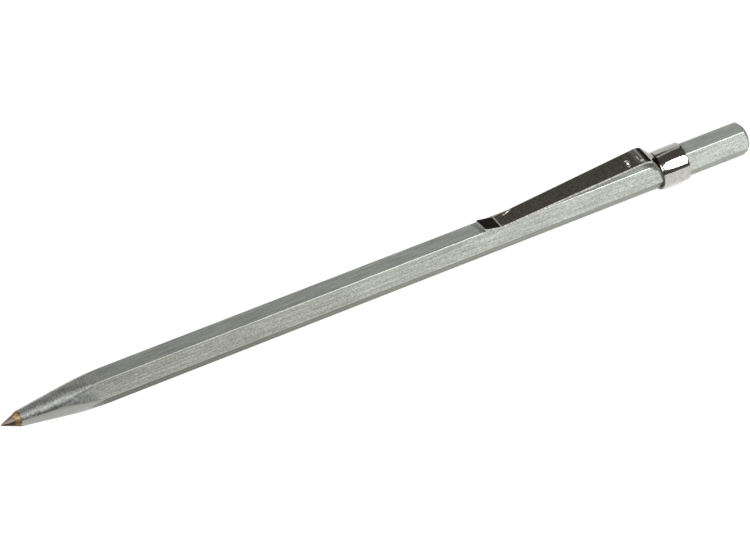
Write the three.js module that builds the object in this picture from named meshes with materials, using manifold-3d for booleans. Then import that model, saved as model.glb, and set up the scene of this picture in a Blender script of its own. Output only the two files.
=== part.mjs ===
// Carbide-tipped scriber: a drawn hexagonal steel bar with a turned nose, a tungsten-carbide point
// brazed into it, and a spring-steel pocket clip whose round collar grips the bar's six edges.
//
// Millimetres. +X runs along the bar from the point to the butt, +Y runs across the bar and +Z is the
// way the clip faces. The origin is at the middle of the length and the width, level with the lowest
// point of the clip's collar. Distances called "station" are measured back from the point.

import * as THREE from 'three';
import { mergeVertices } from 'three/addons/utils/BufferGeometryUtils.js';
import Module from 'manifold-3d';

const wasm = await Module();
wasm.setup();

// Driving dimensions of the bar
const overallLength = 143;
const acrossFlats = 5.5;
const edgeRadius = 0.2;
const runningGap = 0.02;

// The ground point
const pointHalfAngle = THREE.MathUtils.degToRad(22.5);
const pointTipRadius = 0.083;
const carbideRadius = 1.0;
const carbideEndStation = 10.5;

// The turned nose: a straight taper that rounds over onto the bar's edges
const noseFrontStation = 3.15;
const noseFrontRadius = 1.4;
const taperEndStation = 11.5;
const taperEndRadius = 2.565;
const shoulderStation = 19;
const shoulderRadius = 3.2;
const brazeThickness = 0.1;
const socketBottomGap = 0.1;

// The butt
const buttFaceRadius = 2.35;
const buttChamferLength = 0.8;

// The pocket clip, stamped from one strip
const sheetThickness = 0.4;
const collarOuterRadius = 3.6;
const collarWidth = 5.3;
const collarBackFromButt = 12.9;
const flexGap = 0.2;
const footClearance = 0.02;
const humpHeight = 2.3;          // the hump's middle surface above the foot's
const humpFromCollar = 2.4;
const riserFromCollar = 0.5;
const heelFromHump = 29.6;
const lipLength = 3.1;
const lipRise = 0.75;
const rootBendRadius = 0.5;
const humpBendRadius = 1.2;
const heelBendRadius = 2.5;
const tongueRootWidth = 4.3;
const tongueTipWidth = 2.95;
const tongueCornerRadius = 0.35;
const tongueLean = THREE.MathUtils.degToRad(0.9);

// Fineness of the round stretches
const turnedSides = 48;
const blendSteps = 6;
const edgeSteps = 2;
const bendSteps = 4;
const barSections = 4;           // lengths that each of the bar's flats is divided into

// Worked out from the above
const flatDistance = acrossFlats / 2;
const axisHeight = collarOuterRadius;
const pointX = -overallLength / 2;
const buttX = overallLength / 2;
const pointSlope = Math.tan(pointHalfAngle);
const socketRadius = carbideRadius + brazeThickness + 2 * runningGap;
const collarBackX = buttX - collarBackFromButt;
const collarFrontX = collarBackX - collarWidth;
const tongueStartX = collarFrontX - flexGap;

// Each sub-part's own material
function metal(color, roughness, metalness = 1) {
  return new THREE.MeshStandardMaterial({ color, roughness, metalness });
}

const materials = {
  zincSteel: metal(0xa7a9a1, 0.45),
  carbide: metal(0x6f6a68, 0.4),
  braze: metal(0xb98a4e, 0.4),
  clipChrome: metal(0xb9b4ae, 0.12),
};

function piece(name, geometry, material) {
  const mesh = new THREE.Mesh(geometry, material);
  mesh.name = name;
  return mesh;
}

// A closed manifold-3d solid from a three.js geometry.
function toSolid(geometry) {
  const bare = geometry.index ? geometry.clone() : geometry;
  bare.deleteAttribute('normal');
  bare.deleteAttribute('uv');
  const merged = mergeVertices(bare, 1e-5);
  const vertProperties = new Float32Array(merged.getAttribute('position').array);
  const triVerts = new Uint32Array(merged.getIndex().array);
  return new wasm.Manifold(new wasm.Mesh({ numProp: 3, vertProperties, triVerts }));
}

function toGeometry(solid) {
  const mesh = solid.getMesh();
  const geometry = new THREE.BufferGeometry();
  geometry.setAttribute('position', new THREE.BufferAttribute(mesh.vertProperties, 3));
  geometry.setIndex(new THREE.BufferAttribute(mesh.triVerts, 1));
  geometry.computeVertexNormals();
  return geometry;
}

// A solid turned about the bar's axis. The profile's points are [station, radius].
function turned(profile) {
  const points = profile.map(([station, radius]) => new THREE.Vector2(radius, station));
  const geometry = new THREE.LatheGeometry(points, turnedSides);
  geometry.rotateZ(-Math.PI / 2);
  geometry.translate(pointX, 0, 0);
  return geometry;
}

// The profile from the taper to the bar's edges: an arc that starts along the taper.
function noseBlend() {
  const taperSlope = (taperEndRadius - noseFrontRadius) / (taperEndStation - noseFrontStation);
  const length = shoulderStation - taperEndStation;
  const rise = shoulderRadius - taperEndRadius;
  const curvature = 2 * (taperSlope * length - rise) / length ** 2;
  const points = [];
  for (let step = 1; step <= blendSteps; step += 1) {
    const along = length * step / blendSteps;
    points.push([taperEndStation + along, taperEndRadius + taperSlope * along - curvature * along ** 2 / 2]);
  }
  return points;
}

// The bar's hexagon, with its flats facing +X and -X of the sketch.
function hexagonShape() {
  const shape = new THREE.Shape();
  const centreDistance = (flatDistance - edgeRadius) / Math.cos(Math.PI / 6);
  for (let corner = 0; corner < 6; corner += 1) {
    const angle = (corner + 0.5) * Math.PI / 3;
    shape.absarc(
      centreDistance * Math.cos(angle),
      centreDistance * Math.sin(angle),
      edgeRadius,
      angle - Math.PI / 6,
      angle + Math.PI / 6,
    );
  }
  return shape;
}

// The bar is drawn hexagon, turned at both ends and drilled for the carbide.
function barGeometry() {
  const hexagon = new THREE.ExtrudeGeometry(hexagonShape(), {
    depth: overallLength,
    steps: barSections,
    curveSegments: edgeSteps,
    bevelEnabled: false,
  });
  hexagon.rotateY(Math.PI / 2);
  hexagon.translate(pointX, 0, 0);

  const clearRadius = acrossFlats;
  const buttSlope = (flatDistance / Math.cos(Math.PI / 6) - buttFaceRadius) / buttChamferLength;
  const chamferReach = (clearRadius - buttFaceRadius) / buttSlope;
  const envelope = turned([
    [noseFrontStation, 0],
    [noseFrontStation, noseFrontRadius],
    [taperEndStation, taperEndRadius],
    ...noseBlend(),
    [shoulderStation, clearRadius],
    [overallLength - chamferReach, clearRadius],
    [overallLength, buttFaceRadius],
    [overallLength, 0],
  ]);
  const socketEnd = carbideEndStation + socketBottomGap;
  const socket = turned([
    [0, 0],
    [0, socketRadius],
    [socketEnd, socketRadius],
    [socketEnd, 0],
  ]);
  return toGeometry(toSolid(hexagon).intersect(toSolid(envelope)).subtract(toSolid(socket)));
}

// Radius of the ground point at a station.
function pointRadius(station) {
  return pointTipRadius + station * pointSlope;
}

function pointStation(radius) {
  return (radius - pointTipRadius) / pointSlope;
}

// The carbide is a round rod, ground to the point.
function carbideGeometry() {
  return turned([
    [0, 0],
    [0, pointTipRadius],
    [pointStation(carbideRadius), carbideRadius],
    [carbideEndStation, carbideRadius],
    [carbideEndStation, 0],
  ]);
}

// The braze fills the socket round the rod and the fillet in front of the nose, ground with the point.
function brazeGeometry() {
  const inner = carbideRadius + runningGap;
  const outer = inner + brazeThickness;
  const filletBack = noseFrontStation - runningGap;
  return turned([
    [pointStation(inner), inner],
    [filletBack, pointRadius(filletBack)],
    [filletBack, outer],
    [carbideEndStation, outer],
    [carbideEndStation, inner],
    [pointStation(inner), inner],
  ]);
}

// The collar is a plain ring, a little clear of the bar's six edges.
function collarGeometry() {
  const inner = collarOuterRadius - sheetThickness;
  const front = collarFrontX - pointX;
  const back = collarBackX - pointX;
  return turned([
    [front, inner],
    [front, collarOuterRadius],
    [back, collarOuterRadius],
    [back, inner],
    [front, inner],
  ]);
}

// A bent strip seen from the side: the middle line's corners, with a bend radius at each inner one.
// Returns the middle line as points with the way that the strip's upper side faces.
function bentLine(corners, radii) {
  const line = [];
  const first = corners[1].clone().sub(corners[0]).normalize();
  line.push({ at: corners[0], up: new THREE.Vector2(first.y, -first.x) });
  for (let index = 1; index < corners.length - 1; index += 1) {
    const before = corners[index].clone().sub(corners[index - 1]).normalize();
    const after = corners[index + 1].clone().sub(corners[index]).normalize();
    const turn = before.angleTo(after) * Math.sign(before.cross(after));
    const radius = radii[index - 1];
    const tangent = radius * Math.tan(Math.abs(turn) / 2);
    const toCentre = new THREE.Vector2(-before.y, before.x).multiplyScalar(radius * Math.sign(turn));
    const start = corners[index].clone().addScaledVector(before, -tangent);
    const centre = start.clone().add(toCentre);
    for (let step = 0; step <= bendSteps; step += 1) {
      const angle = turn * step / bendSteps;
      const at = start.clone().rotateAround(centre, angle);
      const heading = before.clone().rotateAround(new THREE.Vector2(), angle);
      line.push({ at, up: new THREE.Vector2(heading.y, -heading.x) });
    }
  }
  const last = corners[corners.length - 1];
  const heading = last.clone().sub(corners[corners.length - 2]).normalize();
  line.push({ at: last, up: new THREE.Vector2(heading.y, -heading.x) });
  return line;
}

// The tongue seen from the side, from the collar over the hump to the heel and the curled lip.
// The sketch's x and y are the part's X and its height above the bar's axis.
function tongueSideShape() {
  const rootHeight = collarOuterRadius - sheetThickness / 2;
  const footHeight = flatDistance + footClearance + sheetThickness / 2;
  const humpX = collarFrontX - humpFromCollar;
  const heelX = humpX - heelFromHump;
  const corners = [
    new THREE.Vector2(tongueStartX, rootHeight),
    new THREE.Vector2(collarFrontX - riserFromCollar, rootHeight),
    new THREE.Vector2(humpX, footHeight + humpHeight),
    new THREE.Vector2(heelX, footHeight),
    new THREE.Vector2(heelX - lipLength, footHeight + lipRise),
  ];
  const line = bentLine(corners, [rootBendRadius, humpBendRadius, heelBendRadius]);
  const half = sheetThickness / 2;
  const upper = line.map(({ at, up }) => at.clone().addScaledVector(up, half));
  const lower = line.map(({ at, up }) => at.clone().addScaledVector(up, -half));
  return new THREE.Shape([...upper, ...lower.reverse()]);
}

// The tongue seen from above: it narrows from the collar to the lip, whose corners are round.
function tonguePlanShape() {
  const tipX = collarFrontX - humpFromCollar - heelFromHump - lipLength;
  const rootHalf = tongueRootWidth / 2;
  const tipHalf = tongueTipWidth / 2;
  const cornerX = tipX + tongueCornerRadius;
  const cornerY = tipHalf - tongueCornerRadius;
  const shape = new THREE.Shape();
  shape.moveTo(collarFrontX, -rootHalf);
  shape.lineTo(collarFrontX, rootHalf);
  shape.absarc(cornerX, cornerY, tongueCornerRadius, Math.PI / 2, Math.PI);
  shape.absarc(cornerX, -cornerY, tongueCornerRadius, Math.PI, 1.5 * Math.PI);
  return shape;
}

// The tongue is bent a little to one side, so that its foot stands off the middle of the flat.
function tongueGeometry() {
  const side = new THREE.ExtrudeGeometry(tongueSideShape(), { depth: acrossFlats, bevelEnabled: false });
  side.rotateX(Math.PI / 2);
  side.translate(0, acrossFlats / 2, 0);
  const planOptions = { depth: 2 * acrossFlats, curveSegments: edgeSteps, bevelEnabled: false };
  const plan = new THREE.ExtrudeGeometry(tonguePlanShape(), planOptions);
  const geometry = toGeometry(toSolid(side).intersect(toSolid(plan)));
  geometry.translate(-tongueStartX, 0, 0);
  geometry.rotateZ(tongueLean);
  geometry.translate(tongueStartX, 0, 0);
  return geometry;
}

const scriber = new THREE.Group();
scriber.position.z = axisHeight;
scriber.add(
  piece('hex_body', barGeometry(), materials.zincSteel),
  piece('carbide_tip', carbideGeometry(), materials.carbide),
  piece('braze_fillet', brazeGeometry(), materials.braze),
  piece('clip_collar', collarGeometry(), materials.clipChrome),
  piece('clip_tongue', tongueGeometry(), materials.clipChrome),
);

export default scriber;
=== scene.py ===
"""A carbide-tipped scriber, dressed for its picture: a zinc-plated hexagonal bar with a turned nose,
a ground carbide point in its ring of braze, and a chromed pocket clip bent from one strip.

Shapes are worked out in millimetres, with X along the bar as in the CAD model and heights measured
from the bar's axis. A "station" is a distance back from the scribing point. `to_frame` turns them into
the frame's metres at the very end.
"""
import math

import bpy
import numpy as np
from mathutils import Matrix, Vector


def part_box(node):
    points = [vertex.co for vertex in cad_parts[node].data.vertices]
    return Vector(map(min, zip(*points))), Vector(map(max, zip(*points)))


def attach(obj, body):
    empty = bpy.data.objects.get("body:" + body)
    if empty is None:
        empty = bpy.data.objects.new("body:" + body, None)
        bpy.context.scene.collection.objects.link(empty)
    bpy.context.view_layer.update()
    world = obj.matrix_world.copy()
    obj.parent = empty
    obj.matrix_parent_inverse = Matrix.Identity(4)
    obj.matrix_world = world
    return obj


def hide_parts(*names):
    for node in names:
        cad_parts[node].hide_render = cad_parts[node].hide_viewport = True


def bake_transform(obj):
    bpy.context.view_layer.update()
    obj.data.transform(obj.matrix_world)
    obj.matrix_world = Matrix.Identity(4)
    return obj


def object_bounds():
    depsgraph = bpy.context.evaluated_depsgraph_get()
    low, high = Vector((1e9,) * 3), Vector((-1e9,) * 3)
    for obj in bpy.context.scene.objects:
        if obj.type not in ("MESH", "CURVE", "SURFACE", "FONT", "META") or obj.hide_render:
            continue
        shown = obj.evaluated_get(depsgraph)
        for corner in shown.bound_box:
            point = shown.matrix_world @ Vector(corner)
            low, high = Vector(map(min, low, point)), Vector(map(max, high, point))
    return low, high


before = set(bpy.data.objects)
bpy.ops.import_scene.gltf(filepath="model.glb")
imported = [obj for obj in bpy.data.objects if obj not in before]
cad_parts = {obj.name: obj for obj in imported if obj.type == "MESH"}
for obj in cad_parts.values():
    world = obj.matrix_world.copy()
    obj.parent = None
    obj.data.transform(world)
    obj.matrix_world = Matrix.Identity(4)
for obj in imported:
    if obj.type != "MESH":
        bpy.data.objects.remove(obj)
cad_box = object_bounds()

MM = 0.001


def box_mm(node):
    """A CAD node's lowest and highest corners in millimetres."""
    low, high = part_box(node)
    return np.array(low) / MM, np.array(high) / MM


# ---------------------------------------------------------------- sizes read from the frame
bar_low, bar_high = box_mm("hex_body")
point_low, point_high = box_mm("carbide_tip")
braze_low, _ = box_mm("braze_fillet")
collar_low, collar_high = box_mm("clip_collar")
tongue_low, tongue_high = box_mm("clip_tongue")

AXIS_HEIGHT = (bar_low[2] + bar_high[2]) / 2
POINT_X = point_low[0]
BAR_LENGTH = bar_high[0] - POINT_X
FLAT_DISTANCE = (bar_high[2] - bar_low[2]) / 2
EDGE_REACH = (bar_high[1] - bar_low[1]) / 2
COS_30 = math.cos(math.pi / 6)
EDGE_RADIUS = (FLAT_DISTANCE / COS_30 - EDGE_REACH) / (1 / COS_30 - 1)
FLAT_HALF_ANGLE = math.atan((FLAT_DISTANCE - EDGE_RADIUS) * math.tan(math.pi / 6) / FLAT_DISTANCE)

CARBIDE_RADIUS = (point_high[2] - point_low[2]) / 2
CARBIDE_END = point_high[0] - POINT_X
BRAZE_FRONT = braze_low[0] - POINT_X
NOSE_FRONT = bar_low[0] - POINT_X

COLLAR_FRONT_X = collar_low[0]
COLLAR_BACK_X = collar_high[0]
COLLAR_RADIUS = (collar_high[1] - collar_low[1]) / 2
LIP_X = tongue_low[0]

# ---------------------------------------------------------------- sizes the boxes don't give
POINT_SLOPE = math.tan(math.radians(22.5))
POINT_FLAT_RADIUS = 0.083            # the ground cone's radius where it would reach the very end
NOSE_FRONT_RADIUS = 1.4
SOCKET_RADIUS = 1.14
TAPER_END = (11.5, 2.565)            # station and radius where the nose starts to round over
SHOULDER = (19.0, 3.2)               # and where it meets the bar's edges
BUTT_RADIUS = 2.35
BUTT_CHAMFER = 0.8

SHEET = 0.4
RISER_FROM_COLLAR = 0.2
HUMP_FROM_COLLAR = 2.4
HUMP_DROP = 0.12                     # the hump is bent a little lower than the CAD tongue's
HEEL_FROM_LIP = 3.1
LIP_OVERHANG = 0.35                  # the pressed lip is drawn out a little past its nominal end
LIP_RISE = 0.8
FOOT_CLEARANCE = 0.02
ROOT_BEND, HUMP_BEND, HEEL_BEND = 1.0, 2.6, 3.2
ROOT_WIDTH, TIP_WIDTH = 4.45, 2.95
TONGUE_LEAN = math.radians(0.9)
NICK_FROM_HEEL = 26.2


def to_frame(points):
    """Millimetres about the bar's axis to the frame's metres."""
    return (np.asarray(points, float) + (0, 0, AXIS_HEIGHT)) * MM


# ---------------------------------------------------------------- mesh helpers
def make_object(name, points, faces, material, smooth_angle=35):
    """A smooth-shaded piece from points in millimetres, creased where faces meet more sharply."""
    mesh = bpy.data.meshes.new(name)
    mesh.from_pydata(to_frame(points).tolist(), [], faces)
    mesh.validate()
    mesh.materials.append(material)
    mesh.shade_smooth()
    mesh.set_sharp_from_angle(angle=math.radians(smooth_angle))
    piece = bpy.data.objects.new(name, mesh)
    bpy.context.scene.collection.objects.link(piece)
    return piece


def ring_faces(rings, around):
    """Quads between neighbouring closed rings of `around` points each."""
    faces = []
    for ring in range(rings - 1):
        for side in range(around):
            after = (side + 1) % around
            here, there = ring * around, (ring + 1) * around
            faces.append((here + side, there + side, there + after, here + after))
    return faces


def closed_rings(rings):
    """Points and faces of a solid whose outline runs through closed rings, with a fan at each end."""
    around = len(rings[0])
    points = np.concatenate([*rings, [rings[0].mean(0)], [rings[-1].mean(0)]])
    faces = ring_faces(len(rings), around)
    last = (len(rings) - 1) * around
    start_centre, end_centre = len(points) - 2, len(points) - 1
    for side in range(around):
        after = (side + 1) % around
        faces.append((start_centre, side, after))
        faces.append((end_centre, last + after, last + side))
    return points, faces


def stretches(*parts):
    """Values that run through several stretches, each given as (start, end, step)."""
    values = [parts[0][0]]
    for start, end, step in parts:
        count = max(1, round(abs(end - start) / step))
        values.extend(np.linspace(start, end, count + 1)[1:])
    return np.array(values)


def smoothstep(value, low, high):
    """0 up to `low`, 1 from `high`, and an easy curve between them."""
    share = np.clip((np.asarray(value, float) - low) / (high - low), 0, 1)
    return share * share * (3 - 2 * share)


def soft_min(a, b, width):
    """The lesser of two values, with the corner between them rounded over."""
    near = np.maximum(width - np.abs(a - b), 0) / width
    return np.minimum(a, b) - near * near * width / 4


def store(piece, name, values):
    """A number for each point, which the material reads by name."""
    attribute = piece.data.attributes.new(name, "FLOAT", "POINT")
    attribute.data.foreach_set("value", np.asarray(values, np.float32))


# ---------------------------------------------------------------- the bar
def hexagon_angles():
    """Polar angles round the bar, close together on its rounded edges."""
    flat_points, edge_points = 29, 9
    edge_half = math.pi / 6 - FLAT_HALF_ANGLE
    on_flat = np.linspace(-FLAT_HALF_ANGLE, FLAT_HALF_ANGLE, flat_points)
    beside_edge = FLAT_HALF_ANGLE - 0.25 * edge_half
    on_edge = FLAT_HALF_ANGLE + edge_half * np.linspace(0, 2, edge_points)[1:-1]
    sextant = np.concatenate([on_flat[:-1], [beside_edge], on_flat[-1:], on_edge])
    angles = [sextant + math.pi / 2 + side * math.pi / 3 for side in range(6)]
    return np.concatenate(angles)


def hexagon_radius(angle):
    """The rounded hexagon's radius at a polar angle. Flats face straight up and down."""
    from_flat = np.abs((angle - math.pi / 2 + math.pi / 6) % (math.pi / 3) - math.pi / 6)
    centre = (FLAT_DISTANCE - EDGE_RADIUS) / COS_30
    off = math.pi / 6 - from_flat
    on_edge = centre * np.cos(off) + np.sqrt(
        np.maximum(EDGE_RADIUS ** 2 - (centre * np.sin(off)) ** 2, 0)
    )
    return np.where(from_flat < FLAT_HALF_ANGLE, FLAT_DISTANCE / np.cos(from_flat), on_edge)


def turned_radius(station):
    """The radius that the lathe leaves at a station: the nose, then the butt's chamfer."""
    (taper_end, taper_radius), (shoulder, shoulder_radius) = TAPER_END, SHOULDER
    slope = (taper_radius - NOSE_FRONT_RADIUS) / (taper_end - NOSE_FRONT)
    length = shoulder - taper_end
    curvature = 2 * (slope * length - (shoulder_radius - taper_radius)) / length ** 2
    along = np.clip(station - taper_end, 0, length)
    nose = taper_radius + slope * along - curvature * along ** 2 / 2
    nose += slope * np.minimum(station - taper_end, 0)
    nose += (slope - curvature * length) * np.maximum(station - shoulder, 0)
    chamfer_slope = (FLAT_DISTANCE / COS_30 - BUTT_RADIUS) / BUTT_CHAMFER
    butt = BUTT_RADIUS + (BAR_LENGTH - station) * chamfer_slope
    return np.minimum(nose, butt)


def chatter(station, angle):
    """Shallow tool marks that run round the nose, wandering in depth and direction."""
    pitch = 0.55
    wander = 0.35 * np.sin(2 * angle + 0.9 * station) + 0.25 * np.sin(5 * angle - 1.7 * station)
    wave = np.sin(2 * math.pi * (station + wander) / pitch)
    patch = 0.5 + 0.5 * np.sin(3 * angle + 1.3 * station) * np.sin(2 * angle - 2.1 * station)
    return wave * patch


def make_bar(material):
    """The hexagon cut down by the lathe at both ends, with the socket for the carbide's rod.

    Two numbers go with each point: "turned", where the lathe has cut, and "edge", on the six edges.
    """
    angles = hexagon_angles()
    nose_end = SHOULDER[0] + 1.5
    butt_start = BAR_LENGTH - 1.2
    stations = stretches(
        (NOSE_FRONT, nose_end, 0.11),
        (nose_end, butt_start, 6),
        (butt_start, BAR_LENGTH, 0.04),
    )
    chatter_depth, chatter_run_in = 0.0035, 0.5
    rings, turned = [], []
    flat_radii = hexagon_radius(angles)
    flatness = smoothstep((EDGE_REACH - flat_radii) / (EDGE_REACH - FLAT_DISTANCE), 0.1, 1.0)
    crisp, soft = 0.06, 0.34              # how wide the border of the cut is, and how much more on a flat
    rounding = crisp + soft * flatness

    def ring(station, radii):
        x = np.full(len(angles), POINT_X + station)
        rings.append(np.stack([x, radii * np.cos(angles), radii * np.sin(angles)], -1))

    socket_end = CARBIDE_END + 0.1
    ring(socket_end, np.full(len(angles), SOCKET_RADIUS))
    ring(NOSE_FRONT, np.full(len(angles), SOCKET_RADIUS))
    turned.extend([np.ones(len(angles))] * 2)
    for station in stations:
        lathe = turned_radius(station)
        at_nose = station < nose_end
        width = rounding if at_nose else crisp
        share = smoothstep(flat_radii - lathe, -width, 0.25 * width)
        shine = smoothstep(flat_radii - lathe, -1.35 * width, 0.3 * width)
        marks = chatter_depth * chatter(station, angles) * share if at_nose else 0
        marks = marks * float(smoothstep(station, NOSE_FRONT, NOSE_FRONT + chatter_run_in))
        ring(station, soft_min(flat_radii, lathe, width) + marks)
        turned.append(shine)
    for inward in (0.97, 0.6, 0.2):
        ring(BAR_LENGTH, np.full(len(angles), BUTT_RADIUS * inward))
        turned.append(np.ones(len(angles)))

    points, faces = closed_rings(rings)
    faces = [face[::-1] for face in faces]
    bar = make_object("bar", points, faces, material)
    polar = np.tile(angles, len(rings))
    off_edge = np.abs((polar - math.pi / 2) % (math.pi / 3) - math.pi / 6)
    edge_half_width = math.radians(2.4)
    edge = np.concatenate([1 - smoothstep(off_edge, 0.0, edge_half_width), [0, 0]])
    turned = np.concatenate([*turned, [1, 1]])
    store(bar, "turned", turned)
    store(bar, "edge", edge * (1 - turned))
    return bar


# ---------------------------------------------------------------- the point and its braze
def cone_radius(station):
    """The ground cone's radius at a station."""
    return POINT_FLAT_RADIUS + station * POINT_SLOPE


def circle(angles, station, radius):
    """A ring of points at these polar angles. Station and radius may vary round it."""
    x = np.broadcast_to(POINT_X + station, angles.shape)
    return np.stack([x, radius * np.cos(angles), radius * np.sin(angles)], -1)


def make_carbide(material):
    """The rod with its ground cone, whose very tip is rounded.

    "upward" is 1 on its top line and -1 beneath.
    """
    around = 96
    angles = np.linspace(0, 2 * math.pi, around, endpoint=False)
    half_angle = math.atan(POINT_SLOPE)
    ball = POINT_FLAT_RADIUS / (math.cos(half_angle) - POINT_SLOPE * (1 - math.sin(half_angle)))
    rings = []
    for turn in np.linspace(math.radians(8), math.pi / 2 - half_angle, 7):
        rings.append(circle(angles, ball * (1 - math.cos(turn)), ball * math.sin(turn)))
    cone_start = ball * (1 - math.sin(half_angle))
    cone_end = (CARBIDE_RADIUS - POINT_FLAT_RADIUS) / POINT_SLOPE
    for station in stretches((cone_start, cone_end, 0.06))[1:]:
        grind = 0.0012 * math.sin(station * 47) + 0.0008 * math.sin(station * 83)
        rings.append(circle(angles, station, cone_radius(station) - abs(grind)))
    rings.append(circle(angles, CARBIDE_END, CARBIDE_RADIUS))
    points, faces = closed_rings(rings)
    carbide = make_object("carbide", points, [face[::-1] for face in faces], material)
    store(carbide, "upward", np.append(np.tile(np.sin(angles), len(rings)), [0, 0]))
    return carbide


def make_braze(material):
    """The braze that fills the joint and has wetted a little way over the nose, furthest on one side."""
    around = 120
    angles = np.linspace(0, 2 * math.pi, around, endpoint=False)
    from_furthest = angles - math.radians(120)
    front = BRAZE_FRONT + 0.05 * np.sin(3 * angles + 0.4) + 0.04 * np.sin(7 * angles + 1.9)
    reach = 0.05 + 0.36 * np.exp(2.5 * (np.cos(from_furthest) - 1))
    back = NOSE_FRONT + reach + 0.06 * np.sin(5 * angles) + 0.03 * np.sin(11 * angles + 1.1)
    crown = 0.016 + 0.05 * np.maximum(np.sin(angles), 0)
    sunk = 0.004
    inner = CARBIDE_RADIUS - 0.05
    rings = [circle(angles, front + 0.15, inner)]
    steps = 14
    for step in range(steps + 1):
        share = step / steps
        station = front + (back - front) * share
        surface = np.where(station < NOSE_FRONT, cone_radius(station), turned_radius(station))
        proud = crown * math.sin(math.pi * share) ** 0.5 - sunk
        lumps = 0.003 * np.sin(4 * angles + 9 * share) * math.sin(math.pi * share)
        rings.append(circle(angles, station, surface + proud + lumps))
    rings.append(circle(angles, np.maximum(back - 0.1, NOSE_FRONT + 0.02), inner))
    points = np.concatenate(rings)
    faces = ring_faces(len(rings), around)
    last = (len(rings) - 1) * around
    for side in range(around):
        after = (side + 1) % around
        faces.append((last + side, side, after, last + after))
    braze = make_object("braze", points, [face[::-1] for face in faces], material)
    store(braze, "upward", np.tile(np.sin(angles), len(rings)))
    return braze


# ---------------------------------------------------------------- the clip
def bent_line(corners, radii, steps=16):
    """A bent strip's middle line seen from the side: points (x, height) with arcs at the corners."""
    corners = [np.array(corner, float) for corner in corners]
    line = [corners[0]]
    for before, corner, after, radius in zip(corners, corners[1:], corners[2:], radii):
        into = (corner - before) / np.linalg.norm(corner - before)
        out = (after - corner) / np.linalg.norm(after - corner)
        turn = math.atan2(into[0] * out[1] - into[1] * out[0], into @ out)
        tangent = radius * math.tan(abs(turn) / 2)
        side = math.copysign(1, turn)
        centre = corner - into * tangent + radius * side * np.array([-into[1], into[0]])
        spoke = corner - into * tangent - centre
        for step in range(steps + 1):
            angle = turn * step / steps
            c, s = math.cos(angle), math.sin(angle)
            line.append(centre + (spoke[0] * c - spoke[1] * s, spoke[0] * s + spoke[1] * c))
    line.append(corners[-1])
    return np.array(line)


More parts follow.
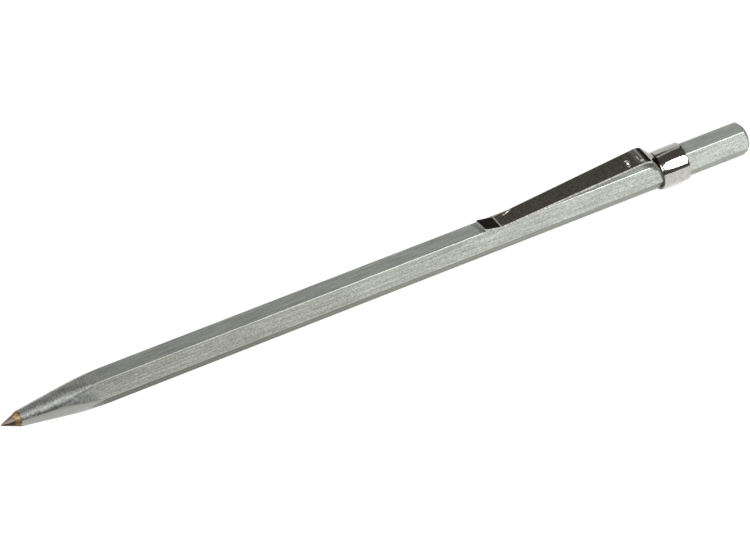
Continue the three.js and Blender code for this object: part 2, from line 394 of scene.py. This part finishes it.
class Strip:
    """The clip's tongue: where its middle line runs, how wide it is and how its section curves."""

    ring = COLLAR_RADIUS - SHEET / 2          # radius of the collar's middle surface
    inside = 2.0                              # how far into the collar the root's bend may reach
    flare, flare_length = 1.15, 2.4           # how the root widens into the collar's front rim
    taper, taper_length = 0.102, 3.4          # how the collar narrows towards its front rim
    rim_taper, rim_length = 0.02, 0.45        # and towards its back rim
    lip_slant, slant_length = 0.45, 2.2       # the lip's end is cut a little askew
    shift, shift_length = 0.1, 2.5            # the tongue starts off a little to one side

    def __init__(self):
        foot = FLAT_DISTANCE + FOOT_CLEARANCE + SHEET / 2
        hump = tongue_high[2] - AXIS_HEIGHT - SHEET / 2
        heel_x = LIP_X + HEEL_FROM_LIP
        hump_x = COLLAR_FRONT_X - HUMP_FROM_COLLAR
        crown = hump + 0.03 * HUMP_BEND - HUMP_DROP
        corners = [
            (COLLAR_FRONT_X + self.inside, self.ring),
            (COLLAR_FRONT_X - RISER_FROM_COLLAR, self.ring),
            (hump_x, crown),
            (heel_x, foot),
            (LIP_X - LIP_OVERHANG, foot + LIP_RISE),
        ]
        self.line = bent_line(corners, (ROOT_BEND, HUMP_BEND, HEEL_BEND))
        steps = np.linalg.norm(np.diff(self.line, axis=0), axis=1)
        self.at = np.concatenate([[0], np.cumsum(steps)])
        self.at -= np.interp(-COLLAR_FRONT_X, -self.line[:, 0], self.at)
        self.length = self.at[-1]
        self.heel = self.length - HEEL_FROM_LIP - LIP_OVERHANG
        self.hump = float(np.interp(-hump_x, -self.line[:, 0], self.at))

    def middle(self, along):
        """The middle line's X and height, and the X and height of its upward direction."""
        reach = 0.06
        x, height = (np.interp(along, self.at, self.line[:, axis]) for axis in (0, 1))
        ahead = np.clip(along + reach, 0, self.length)
        behind = np.clip(along - reach, self.at[0], self.length)
        dx, dz = (
            np.interp(ahead, self.at, self.line[:, axis])
            - np.interp(behind, self.at, self.line[:, axis])
            for axis in (0, 1)
        )
        size = np.hypot(dx, dz)
        return x, height, dz / size, -dx / size

    def half_width(self, along):
        """Half the strip's width: flared at the root, tapering, with rounded corners at the tip."""
        along = np.maximum(along, 0)
        straight = ROOT_WIDTH + (TIP_WIDTH - ROOT_WIDTH) * along / self.length
        left = np.clip(1 - along / self.flare_length, 0, 1)
        root = self.flare * (1 - np.sqrt(1 - left ** 2))
        corner = 0.35
        short = np.clip(corner - (self.length - along), 0, corner)
        return straight / 2 + root - (corner - np.sqrt(corner ** 2 - short ** 2))

    def collar_radius(self, back):
        """The collar's middle surface, drawn in a little towards its front and back rims."""
        front = np.clip(1 - np.maximum(back, 0) / self.taper_length, 0, 1)
        rear = np.clip(1 - (COLLAR_BACK_X - COLLAR_FRONT_X - back) / self.rim_length, 0, 1)
        return self.ring - self.taper * front ** 2 - self.rim_taper * rear ** 2

    def curvature(self, along):
        """Of the section across the strip: the collar's at the root, nearly flat from the hump on."""
        crown = 1 / 60
        return crown + (1 / self.ring - crown) * (1 - smoothstep(along, -0.6, self.hump - 0.6))

    def dents(self, along, across):
        """The small creases and dings that a stamped clip picks up, as a height over the surface."""
        from_heel = self.heel - along
        crease_path = (across - 1.04) - 0.27 * (from_heel - 1.8)
        crease_width = 0.18 - 0.05 * (from_heel - 1.8)
        crease = 0.145 * np.exp(-((crease_path / crease_width) ** 2))
        crease *= np.exp(-(((from_heel - 2.55) / 0.76) ** 4))
        from_nick, beside_nick = from_heel - NICK_FROM_HEEL, across + 0.65
        nick = 0.35 * from_nick - 0.95 * beside_nick
        nick *= np.exp(-((from_nick / 0.28) ** 2) - (beside_nick / 0.42) ** 2)
        scrape = 0.03 * np.exp(-(((from_heel - 26.1) / 0.14) ** 2) - ((across + 1.3) / 0.35) ** 4)
        ding = 0.03 * np.exp(-((from_heel - 14.7) ** 2 + across ** 2) / 0.13 ** 2)
        return -crease - nick - scrape - ding

    def point(self, along, across):
        """A point of the middle surface. `across` runs from -1 to 1, towards +Y."""
        slant = self.lip_slant * (1 - across) / 2
        slant = slant * smoothstep(along, self.length - self.slant_length, self.length)
        x, height, up_x, up_z = self.middle(along - slant)
        arc = across * self.half_width(along)
        bend = self.curvature(along)
        sideways = np.sin(arc * bend) / bend
        drop = (1 - np.cos(arc * bend)) / bend - self.dents(along, arc)
        forward = np.maximum(COLLAR_FRONT_X - x, 0)
        lean = self.shift + math.tan(TONGUE_LEAN) * forward
        lean = lean * smoothstep(forward, 0, self.shift_length)
        radius = self.collar_radius(-along)
        drop = drop + self.ring - radius
        bent = np.array([x - up_x * drop, sideways - lean, height - up_z * drop])
        angle = arc / self.ring
        straight_on = np.array([
            COLLAR_FRONT_X - along, radius * np.sin(angle), radius * np.cos(angle)
        ])
        # The root's middle leaves the collar first, and its sides once they are clear of the rim.
        free = smoothstep(along, 0, 0.8)
        lift = np.maximum(1 - (across / 0.6) ** 2, 0) ** 2 * (1 - free) + free
        return straight_on + (bent - straight_on) * lift


def clip_surface():
    """The clip's middle surface: points, faces, and a (along, across) pair for each point."""
    strip = Strip()
    tongue_columns, rest_columns = 56, 120
    across = np.linspace(-1, 1, tongue_columns + 1)
    root_angle = strip.half_width(0) / strip.ring
    rest = np.linspace(root_angle, 2 * math.pi - root_angle, rest_columns + 2)[1:-1]
    angles = np.concatenate([across * root_angle, rest])
    around = len(angles)

    width = COLLAR_BACK_X - COLLAR_FRONT_X
    backs = stretches((width, width - 0.5, 0.05), (width - 0.5, 1.2, 0.15), (1.2, 0, 0.1))
    points, places = [], []
    for back in backs:
        for column, angle in enumerate(angles):
            if column <= tongue_columns and back < strip.inside:
                points.append(strip.point(-back, across[column]))
            else:
                x, radius = COLLAR_FRONT_X + back, strip.collar_radius(back)
                points.append((x, radius * math.sin(angle), radius * math.cos(angle)))
            places.append((-back, math.remainder(angle, 2 * math.pi) * strip.ring))
    faces = ring_faces(len(backs), around)

    # Close rows where the strip bends and where it is marked, and wide ones where it runs straight.
    root_end = 0.4
    hump_end = strip.hump + 1.5
    marks_end = strip.hump + 5
    heel_start = strip.heel - 4
    corner_start = strip.length - 0.5
    alongs = stretches(
        (0, root_end, 0.04),
        (root_end, hump_end, 0.09),
        (hump_end, marks_end, 0.09),
        (marks_end, heel_start, 0.25),
        (heel_start, corner_start, 0.07),
        (corner_start, strip.length, 0.05),
    )[1:]
    front_rim = (len(backs) - 1) * around
    row = list(range(front_rim, front_rim + tongue_columns + 1))
    for along in alongs:
        start = len(points)
        for share in across:
            points.append(strip.point(along, share))
            places.append((along, share * float(strip.half_width(along))))
        for column in range(tongue_columns):
            faces.append((row[column], start + column, start + column + 1, row[column + 1]))
        row = list(range(start, start + tongue_columns + 1))
    return np.array(points), faces, np.array(places)


def make_clip(material):
    """The clip's surface made into sheet with rounded edges. Its UV map "strip" holds millimetres."""
    points, faces, places = clip_surface()
    clip = make_object("clip", points, faces, material, smooth_angle=50)
    layer = clip.data.uv_layers.new(name="strip")
    corners = np.zeros(len(clip.data.loops), np.int32)
    clip.data.loops.foreach_get("vertex_index", corners)
    layer.data.foreach_set("uv", places[corners].astype(np.float32).ravel())

    sheet = clip.modifiers.new("sheet", "SOLIDIFY")
    sheet.thickness = SHEET * MM
    sheet.offset = 0
    rim = clip.modifiers.new("rim", "BEVEL")
    rim.width = 0.07 * MM
    rim.segments = 3
    rim.limit_method = "ANGLE"
    rim.angle_limit = math.radians(55)
    rim.use_clamp_overlap = True
    graph = bpy.context.evaluated_depsgraph_get()
    solid = bpy.data.meshes.new_from_object(clip.evaluated_get(graph))
    clip.modifiers.clear()
    clip.data = solid
    solid.shade_smooth()
    solid.set_sharp_from_angle(angle=math.radians(40))
    return clip


# ---------------------------------------------------------------- materials
class Tree:
    """Short spellings for the nodes that the materials and the world are made of."""

    def __init__(self, owner):
        owner.use_nodes = True
        self.tree = owner.node_tree

    def add(self, kind, **settings):
        node = self.tree.nodes.new(kind)
        for name, value in settings.items():
            setattr(node, name, value)
        return node

    def join(self, source, target):
        """Links a socket, or sets a plain value."""
        if isinstance(source, bpy.types.NodeSocket):
            self.tree.links.new(source, target)
        else:
            target.default_value = source

    def split(self, vector):
        """A vector's X, Y and Z."""
        node = self.add("ShaderNodeSeparateXYZ")
        self.join(vector, node.inputs[0])
        return node.outputs

    def math(self, operation, a, b=0.0):
        node = self.add("ShaderNodeMath", operation=operation)
        self.join(a, node.inputs[0])
        self.join(b, node.inputs[1])
        return node.outputs[0]

    def product(self, *factors):
        value = factors[0]
        for factor in factors[1:]:
            value = self.math("MULTIPLY", value, factor)
        return value


class Nodes(Tree):
    """The nodes of one material, which is a metal unless its function says otherwise."""

    def __init__(self, name):
        self.material = bpy.data.materials.new(name)
        super().__init__(self.material)
        self.shader = self.tree.nodes["Principled BSDF"]
        self.shader.inputs["Metallic"].default_value = 1
        self.place = self.add("ShaderNodeTexCoord").outputs["Object"]

    def noise(self, size, detail=2, roughness=0.5, offset=0.0, place=None):
        """Noise whose features measure `size` millimetres along X, Y and Z."""
        scale = tuple(1 / (MM * millimetres) for millimetres in size)
        stretch = self.add("ShaderNodeMapping")
        stretch.inputs["Scale"].default_value = scale
        stretch.inputs["Location"].default_value = (offset, offset / 2, offset / 3)
        self.join(place or self.place, stretch.inputs["Vector"])
        node = self.add("ShaderNodeTexNoise")
        node.inputs["Scale"].default_value = 1
        node.inputs["Detail"].default_value = detail
        node.inputs["Roughness"].default_value = roughness
        self.join(stretch.outputs[0], node.inputs["Vector"])
        return node.outputs["Fac"]

    def spread(self, value, low, high, to_low=0.0, to_high=1.0):
        """Maps low..high to to_low..to_high, and stays at the ends beyond them."""
        node = self.add("ShaderNodeMapRange", clamp=True)
        for socket, number in zip(node.inputs[1:5], (low, high, to_low, to_high)):
            self.join(number, socket)
        self.join(value, node.inputs[0])
        return node.outputs[0]

    def near(self, value, middle, full, none, most=1.0):
        """`most` within `full` of a middle value, down to 0 at `none` from it."""
        away = self.math("ABSOLUTE", self.math("SUBTRACT", value, middle))
        return self.spread(away, none, full, 0.0, most)

    def mix(self, factor, a, b, blend="MIX"):
        node = self.add("ShaderNodeMix", data_type="RGBA", blend_type=blend)
        self.join(factor, node.inputs["Factor"])
        self.join(a, node.inputs[6])
        self.join(b, node.inputs[7])
        return node.outputs[2]

    def mix_numbers(self, factor, a, b):
        node = self.add("ShaderNodeMix", data_type="FLOAT")
        self.join(factor, node.inputs["Factor"])
        self.join(a, node.inputs[2])
        self.join(b, node.inputs[3])
        return node.outputs[0]

    def ramp(self, value, *stops):
        """A colour, or a grey given as one number, for each (position, colour) stop."""
        node = self.add("ShaderNodeValToRGB")
        elements = node.color_ramp.elements
        while len(elements) < len(stops):
            elements.new(0.5)
        for element, (position, colour) in zip(elements, stops):
            element.position = position
            element.color = (*colour, 1) if isinstance(colour, tuple) else grey(colour)
        self.join(value, node.inputs[0])
        return node.outputs[0]

    def times(self, colour, other, factor=1.0):
        """A colour multiplied by another one."""
        return self.mix(factor, colour, other, "MULTIPLY")

    def attribute(self, name):
        return self.add("ShaderNodeAttribute", attribute_name=name).outputs["Fac"]

    def bump(self, height, depth, under=None):
        """A bump `depth` millimetres deep, laid over another one."""
        node = self.add("ShaderNodeBump")
        node.inputs["Distance"].default_value = depth * MM
        self.join(height, node.inputs["Height"])
        if under:
            self.join(under, node.inputs["Normal"])
        return node.outputs[0]

    def finish(self, colour, roughness, normal):
        self.join(colour, self.shader.inputs["Base Color"])
        self.join(roughness, self.shader.inputs["Roughness"])
        self.join(normal, self.shader.inputs["Normal"])
        return self.material


def grey(level):
    return (level, level, level, 1)


def share_of_bar(x):
    """How far along the bar an X in millimetres lies, from 0 at the point to 1 at the butt."""
    return (x - POINT_X) / BAR_LENGTH


def plated_colour(nodes, along, edge, grain, streaks, lines):
    """The bar's plate: darker and a little warmer towards the point, with painted light on its top by the
    collar and painted shade on its lower half.
    """
    painted_top_light, bare_edge = (0.87, 0.93, 0.885, 1), (0.80, 0.81, 0.76, 1)
    height = nodes.split(nodes.place)["Z"]
    clouds = nodes.noise((9, 4, 4), detail=3, offset=5.7)
    tint = nodes.ramp(
        along,
        (0.00, (0.352, 0.361, 0.329)),
        (0.20, (0.330, 0.339, 0.304)),
        (0.45, (0.380, 0.392, 0.350)),
        (0.72, (0.406, 0.430, 0.398)),
        (1.00, (0.450, 0.474, 0.440)),
    )
    colour = nodes.times(tint, nodes.ramp(clouds, (0.3, 0.93), (0.7, 1.05)))
    colour = nodes.times(colour, nodes.ramp(grain, (0.3, 0.66), (0.7, 1.30)))
    # Painted light: the top flat is lightened, most just in front of the collar and under the clip's tongue.
    top_light_along = nodes.ramp(
        along,
        (0.0, 0.33),
        (share_of_bar(COLLAR_FRONT_X - 18), 0.49),
        (share_of_bar(COLLAR_FRONT_X), 1.0),
        (share_of_bar(COLLAR_BACK_X), 0.5),
    )
    on_top = nodes.spread(height, (bar_high[2] - 0.12) * MM, (bar_high[2] - 0.02) * MM)
    colour = nodes.mix(nodes.math("MULTIPLY", top_light_along, on_top), colour, painted_top_light)
    colour = nodes.times(colour, nodes.ramp(streaks, (0.3, 0.72), (0.7, 1.26)))
    colour = nodes.times(colour, nodes.ramp(lines, (0.3, 0.90), (0.7, 1.09)))
    # Painted shade: the lower half is darkened, most towards the point, standing in for the shaded floor it
    # faces.
    below = nodes.spread(height, (AXIS_HEIGHT + 0.02) * MM, (AXIS_HEIGHT - 0.12) * MM)
    painted_lower_shade = nodes.ramp(along, (0.0, (0.43, 0.425, 0.37)), (1.0, (0.86, 0.845, 0.80)))
    colour = nodes.mix(below, colour, nodes.times(colour, painted_lower_shade))
    return nodes.mix(nodes.math("MULTIPLY", edge, 0.36), colour, bare_edge)


def turned_colour(nodes, along, flecks, blotches):
    """The turned nose: flecked plate, with painted light and shade that follow which way it faces: a lighter
    upward side, a black band of painted dark reflection low on its side, and a plainer copy of the plate
    beneath.
    """
    facing_down_plate, painted_dark_reflection = (0.385, 0.388, 0.350, 1), (0.07, 0.075, 0.07, 1)
    facing_up = nodes.split(nodes.add("ShaderNodeNewGeometry").outputs["Normal"])["Z"]
    colour = nodes.ramp(flecks, (0.36, (0.20, 0.205, 0.195)), (0.64, (0.37, 0.382, 0.368)))
    colour = nodes.times(colour, nodes.ramp(blotches, (0.36, 0.80), (0.58, 1.03)))
    # Painted light and shade: the nose's colour follows which way it faces. Here the side facing down gets a
    # plainer copy of the plate, without flecks and lighter than the middle.
    colour = nodes.mix(nodes.spread(facing_up, 0.44, 0.34, 0.0, 0.85), colour, facing_down_plate)
    # Painted light: the upward-facing side of the nose is lightened up to about twice, and on the butt's
    # chamfer it is darkened a little instead.
    nose_top_light = nodes.spread(along, 0.2, 0.3, 2.1, 0.9)
    colour = nodes.times(colour, nodes.spread(facing_up, 0.45, 0.85, 1.0, nose_top_light))
    # Painted dark reflection: a patchy black band low on the nose's side, strongest near the point.
    dark_reflection_band = nodes.product(
        nodes.spread(facing_up, 0.34, 0.42),
        nodes.spread(facing_up, 0.74, 0.54),
        nodes.spread(blotches, 0.58, 0.42, 0.15, 0.95),
        nodes.spread(along, 0.03, 0.13, 1.0, 0.2),
    )
    return nodes.mix(dark_reflection_band, colour, painted_dark_reflection)


def zinc_material():
    """Dull zinc plate on drawn steel: grain, drawing lines, cloudy tint, and a shinier turned nose."""
    nodes = Nodes("zinc_plate")
    along = nodes.spread(nodes.split(nodes.place)["X"], POINT_X * MM, (POINT_X + BAR_LENGTH) * MM)
    turned = nodes.attribute("turned")
    edge = nodes.attribute("edge")
    grain = nodes.noise((0.34, 0.20, 0.20), detail=2, roughness=0.7)
    streaks = nodes.noise((7, 0.22, 0.22), detail=3, roughness=0.7, offset=3.1)
    lines = nodes.noise((50, 0.25, 0.25), detail=2, offset=8.4)
    flecks = nodes.noise((0.26, 0.6, 0.6), detail=3, roughness=0.6, offset=1.3)
    blotches = nodes.noise((1.6, 0.9, 0.9), detail=3, roughness=0.6, offset=9.2)

    ragged = nodes.spread(nodes.math("ADD", turned, nodes.math("MULTIPLY", blotches, 0.9)), 0.62, 1.02)
    plate = plated_colour(nodes, along, edge, grain, streaks, lines)
    colour = nodes.mix(ragged, plate, turned_colour(nodes, along, flecks, blotches))

    flat_roughness = nodes.spread(streaks, 0.3, 0.7, 0.56, 0.66)
    flat_roughness = nodes.math("SUBTRACT", flat_roughness, nodes.math("MULTIPLY", edge, 0.12))
    nose_roughness = nodes.spread(flecks, 0.3, 0.7, 0.50, 0.38)
    roughness = nodes.mix_numbers(ragged, flat_roughness, nose_roughness)

    height = nodes.math("ADD", nodes.math("MULTIPLY", grain, 0.7), streaks)
    height = nodes.math("ADD", height, nodes.math("MULTIPLY", lines, 0.8))
    surface = nodes.bump(height, 0.016)
    surface = nodes.bump(nodes.math("MULTIPLY", flecks, ragged), 0.035, surface)
    return nodes.finish(colour, roughness, surface)


def rubbed_spots(nodes, along, across, haze):
    """A mask for each spot that is rubbed dull on the tongue, near the hump.

    Each spot has its place along and across the strip, then its size both ways, in millimetres.
    """
    heel = Strip().heel
    spots = (
        (heel - NICK_FROM_HEEL, -0.62, 0.16, 0.42),
        (heel - 26.55, -0.30, 0.30, 0.12),
        (heel - 28.35, -0.35, 0.09, 0.70),
        (heel - 28.75, -1.35, 0.40, 0.28),
    )

    def away(value, middle, size):
        share = nodes.math("DIVIDE", nodes.math("SUBTRACT", value, middle), size)
        return nodes.math("POWER", share, 2)

    masks = []
    for spot_along, spot_across, length, width in spots:
        apart = nodes.math("ADD", away(along, spot_along, length), away(across, spot_across, width))
        apart = nodes.math("ADD", apart, nodes.math("MULTIPLY", haze, 0.4))
        masks.append(nodes.spread(apart, 1.3, 0.9))
    return masks


def chrome_colour(nodes, along, haze, scratches, specks):
    """Hazy chrome, grimy on the tongue, with a painted shadow line in the crease at the root and a painted
    darker, greener reflection on the riser.
    """
    painted_root_shadow, painted_riser_reflection = (0.04, 0.035, 0.035, 1), (0.38, 0.39, 0.30, 1)
    colour = nodes.ramp(haze, (0.3, (0.49, 0.48, 0.45)), (0.7, (0.60, 0.595, 0.56)))
    colour = nodes.times(colour, nodes.ramp(scratches, (0.35, 0.9), (0.6, 1.0)), 0.6)
    speckle = nodes.ramp(specks, (0.35, (0.80, 0.785, 0.765)), (0.65, (1.12, 1.12, 1.11)))
    colour = nodes.times(colour, speckle)
    on_tongue = nodes.spread(along, HUMP_FROM_COLLAR + 1.5, HUMP_FROM_COLLAR + 2.5)
    grime = nodes.ramp(specks, (0.36, (0.78, 0.77, 0.74)), (0.64, (1.22, 1.22, 1.18)))
    colour = nodes.mix(on_tongue, colour, nodes.times(colour, grime))
    # Painted shadow: a dark line in the crease where the tongue leaves the collar.
    colour = nodes.mix(nodes.near(along, 0.12, 0.12, 0.34, 0.8), colour, painted_root_shadow)
    # Painted reflection: the riser is darkened and tinted green.
    return nodes.mix(nodes.near(along, 1.3, 0.7, 1.0), colour, nodes.times(colour, painted_riser_reflection))


def chrome_material():
    """Bright chrome with the faint hazing and hair scratches of a clip that is slid in and out."""
    nodes = Nodes("clip_chrome")
    dull_chrome = (0.95, 0.93, 0.90, 1)
    strip = nodes.add("ShaderNodeUVMap", uv_map="strip").outputs[0]
    in_metres = nodes.add("ShaderNodeVectorMath", operation="SCALE")
    nodes.join(strip, in_metres.inputs[0])
    in_metres.inputs["Scale"].default_value = MM
    place = in_metres.outputs[0]
    along, across, _ = nodes.split(strip)
    haze = nodes.noise((1.2, 1.0, 1.0), detail=4, roughness=0.6, place=place)
    scratches = nodes.noise((6, 0.08, 1), detail=3, roughness=0.7, offset=4.2, place=place)
    ripple = nodes.noise((0.9, 0.9, 1), detail=1, offset=7.7, place=place)
    specks = nodes.noise((0.35, 0.3, 1), detail=3, roughness=0.7, offset=11.3, place=place)

    colour = chrome_colour(nodes, along, haze, scratches, specks)
    hazy = nodes.spread(haze, 0.3, 0.8, 0.05, 0.085)
    roughness = nodes.math("ADD", hazy, nodes.spread(scratches, 0.55, 0.75, 0.0, 0.06))
    for rubbed in rubbed_spots(nodes, along, across, haze):
        colour = nodes.mix(rubbed, colour, dull_chrome)
        roughness = nodes.math("ADD", roughness, nodes.math("MULTIPLY", rubbed, 0.42))
    worn = nodes.near(along, HUMP_FROM_COLLAR + 1.6, 0.6, 1.4)
    roughness = nodes.math("ADD", roughness, nodes.math("MULTIPLY", worn, 0.14))
    surface = nodes.bump(ripple, 0.002)
    surface = nodes.bump(scratches, 0.0006, surface)
    return nodes.finish(colour, roughness, surface)


def darker_below(nodes, size, offset):
    """Where the sides and underside turn darker and browner: 0 on top, 1 below, with a ragged border."""
    ragged = nodes.math("MULTIPLY", nodes.noise((size,) * 3, detail=3, offset=offset), 0.5)
    return nodes.spread(nodes.math("ADD", nodes.attribute("upward"), ragged), 1.02, 0.76)


def carbide_material():
    """Diamond-ground tungsten carbide: purplish grey, browned below, with fine rings from the wheel."""
    nodes = Nodes("ground_carbide")
    dark_below_colour = (0.060, 0.040, 0.026, 1)
    rings = nodes.noise((0.05, 2, 2), detail=3, roughness=0.6)
    patches = nodes.noise((0.4, 0.4, 0.4), detail=3, offset=2.2)
    colour = nodes.ramp(patches, (0.3, (0.30, 0.245, 0.22)), (0.7, (0.42, 0.34, 0.30)))
    colour = nodes.mix(darker_below(nodes, 0.7, 4.4), colour, dark_below_colour)
    roughness = nodes.spread(rings, 0.3, 0.7, 0.34, 0.46)
    return nodes.finish(colour, roughness, nodes.bump(rings, 0.003))


def braze_material():
    """Braze ground with the point: golden, with coppery patches, browned in places below."""
    nodes = Nodes("ground_braze")
    dark_below_colour = (0.13, 0.085, 0.045, 1)
    patches = nodes.noise((0.35, 0.35, 0.35), detail=4, roughness=0.6)
    rings = nodes.noise((0.08, 1.5, 1.5), detail=2, offset=6.1)
    colour = nodes.ramp(
        patches,
        (0.34, (0.30, 0.18, 0.085)),
        (0.50, (0.46, 0.305, 0.16)),
        (0.66, (0.66, 0.47, 0.28)),
    )
    dark_below_patches = nodes.math("MULTIPLY", darker_below(nodes, 0.4, 7.9), nodes.spread(patches, 0.72, 0.56))
    colour = nodes.mix(dark_below_patches, colour, dark_below_colour)
    roughness = nodes.spread(patches, 0.3, 0.7, 0.5, 0.4)
    return nodes.finish(colour, roughness, nodes.bump(rings, 0.004))


def floor_material():
    """A floor that glows almost white, with a painted contact shadow only in the crack right under the
    object.
    """
    nodes = Nodes("pale_floor")
    shader = nodes.shader
    shader.inputs["Metallic"].default_value = 0
    shader.inputs["Roughness"].default_value = 0.9
    shader.inputs["Specular IOR Level"].default_value = 0.0
    shader.inputs["Base Color"].default_value = grey(0.15)
    shader.inputs["Emission Color"].default_value = grey(1.0)
    # Painted contact shadow: the glow is turned down where the floor is sheltered close under the object.
    shelter = nodes.add("ShaderNodeAmbientOcclusion", samples=8)
    shelter.inputs["Distance"].default_value = 1.2 * MM
    glow = nodes.spread(shelter.outputs["AO"], 0.04, 0.24, 0.10, 0.94)
    nodes.join(glow, shader.inputs["Emission Strength"])
    return nodes.material


# ---------------------------------------------------------------- camera, floor and light
def make_camera(target):
    """From the front left and above, tilted a little and aimed a little to one side."""
    azimuth, elevation, roll = math.radians(-20.54), math.radians(42.60), math.radians(-6.99)
    distance = 422.48 * MM
    aside = -2.227 * MM
    back = Vector((
        math.sin(azimuth) * math.cos(elevation),
        -math.cos(azimuth) * math.cos(elevation),
        math.sin(elevation),
    ))
    level = Vector((0, 0, 1)).cross(back).normalized()
    upright = back.cross(level)
    right = level * math.cos(roll) + upright * math.sin(roll)
    up = upright * math.cos(roll) - level * math.sin(roll)
    data = bpy.data.cameras.new("camera")
    data.sensor_width = 36
    data.lens = 116.73
    data.clip_start = 0.01
    data.clip_end = 20
    camera = bpy.data.objects.new("camera", data)
    bpy.context.scene.collection.objects.link(camera)
    turn = Matrix((right, up, back)).transposed().to_4x4()
    camera.matrix_world = Matrix.Translation(target + back * distance + right * aside) @ turn
    bpy.context.scene.camera = camera


def make_floor(height):
    reach = 6
    mesh = bpy.data.meshes.new("floor")
    corners = [(-reach, -reach), (reach, -reach), (reach, reach), (-reach, reach)]
    mesh.from_pydata([(x, y, height) for x, y in corners], [], [(0, 1, 2, 3)])
    mesh.materials.append(floor_material())
    floor = bpy.data.objects.new("floor", mesh)
    bpy.context.scene.collection.objects.link(floor)


def make_softbox(target):
    """A narrow oval soft lamp on the viewer's side, halfway up the sky and well over to the right."""
    elevation, distance, to_the_right = math.radians(45.5), 0.7, 0.36
    width, height = 0.203, 0.60
    radiance = 16.8
    towards = Vector((0, -math.cos(elevation), math.sin(elevation)))
    data = bpy.data.lights.new("softbox", "AREA")
    data.shape = "ELLIPSE"
    data.size = width
    data.size_y = height
    data.energy = radiance * math.pi * (math.pi / 4 * data.size * data.size_y)
    lamp = bpy.data.objects.new("softbox", data)
    bpy.context.scene.collection.objects.link(lamp)
    lamp.location = target + towards * distance + Vector((to_the_right, 0, 0))
    lamp.rotation_euler = (math.pi / 2 - elevation, 0, 0)
    lamp.visible_camera = False


class Sky(Tree):
    """The world's nodes, with words for where a direction points: X right, Y away, Z up."""

    def __init__(self, world):
        super().__init__(world)
        self.tree.nodes.clear()
        self.x, self.y, self.z = self.split(self.add("ShaderNodeTexCoord").outputs["Generated"])

    def rise(self, value, low, high):
        """0 up to `low`, 1 from `high`, and an easy curve between them."""
        node = self.add("ShaderNodeMapRange", interpolation_type="SMOOTHSTEP")
        for socket, number in zip(node.inputs[1:5], (low, high, 0.0, 1.0)):
            socket.default_value = number
        self.join(value, node.inputs[0])
        return node.outputs[0]

    def fall(self, value, low, high):
        return self.math("SUBTRACT", 1.0, self.rise(value, low, high))

    def right_of(self, degrees):
        """How far a direction lies to the right of a vertical plane, turned from +Y towards +X."""
        angle = math.radians(degrees)
        across = self.math("MULTIPLY", self.x, math.cos(angle))
        return self.math("SUBTRACT", across, self.math("MULTIPLY", self.y, math.sin(angle)))

    def far_panel(self, far):
        """A pale panel up to half the sky's height, brighter on its left."""
        low = self.fall(self.z, 0.53, 0.61)
        left_side = self.rise(self.right_of(6), -0.03, 0.03)
        right_side = self.rise(self.right_of(33), -0.03, 0.03)
        within = self.math("SUBTRACT", left_side, right_side)
        dimming = self.math("MULTIPLY", self.rise(self.right_of(17), -0.08, 0.08), 0.45)
        return self.product(low, far, within, self.math("SUBTRACT", 1.15, dimming))

    def far_strip(self, far):
        """A dimmer upright strip at the panel's right-hand side."""
        strip = self.fall(self.math("ABSOLUTE", self.right_of(32)), 0.03, 0.06)
        return self.product(strip, far, 0.45)

    def near_window(self):
        """A window on the near left, and the pale wall to the left."""
        beside = self.fall(self.x, -0.25, 0.02)
        near = self.fall(self.y, -0.55, -0.30)
        window = self.product(beside, near, self.rise(self.z, 0.25, 0.40), 1.5)
        wall = self.product(self.fall(self.x, -0.62, -0.42), 1.1)
        return self.math("MAXIMUM", window, wall)

    def dim_room(self, far):
        """The room's own level, darkest in its far right corner."""
        right = self.rise(self.right_of(36), -0.02, 0.04)
        corner = self.product(right, far, self.fall(self.z, 0.7, 0.8))
        return self.math("SUBTRACT", 0.096, self.math("MULTIPLY", corner, 0.072))


def make_world():
    """A dim, slightly warm room, with a pale panel on the far side and a window on the near left."""
    world = bpy.data.worlds.new("studio")
    bpy.context.scene.world = world
    sky = Sky(world)
    far = sky.rise(sky.y, -0.15, 0.15)
    panel = sky.math("MAXIMUM", sky.far_panel(far), sky.far_strip(far))
    lit = sky.math("MAXIMUM", panel, sky.near_window())

    colour = sky.add("ShaderNodeMix", data_type="RGBA")
    sky.join(sky.rise(lit, 0.0, 0.5), colour.inputs["Factor"])
    colour.inputs[6].default_value = (1.09, 1.0, 0.92, 1)
    colour.inputs[7].default_value = (1.0, 1.0, 0.99, 1)
    background = sky.add("ShaderNodeBackground")
    sky.join(colour.outputs[2], background.inputs["Color"])
    sky.join(sky.math("ADD", sky.dim_room(far), lit), background.inputs["Strength"])
    output = sky.add("ShaderNodeOutputWorld")
    sky.join(background.outputs[0], output.inputs["Surface"])


# ---------------------------------------------------------------- putting it together
def make_scriber():
    bar = make_bar(zinc_material())
    carbide = make_carbide(carbide_material())
    braze = make_braze(braze_material())
    for piece, node, slot in (
        (bar, "hex_body", "zinc_steel"),
        (carbide, "carbide_tip", "carbide"),
        (braze, "braze_fillet", "braze"),
    ):
        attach(piece, "bar")
        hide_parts(node)

    clip = make_clip(chrome_material())
    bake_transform(clip)
    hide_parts("clip_collar", "clip_tongue")


axis_centre = Vector((POINT_X + BAR_LENGTH / 2, 0, AXIS_HEIGHT)) * MM
make_scriber()
make_camera(axis_centre)
make_floor(cad_box[0].z)
make_softbox(axis_centre)
make_world()
bpy.context.scene.view_settings.view_transform = "Standard"
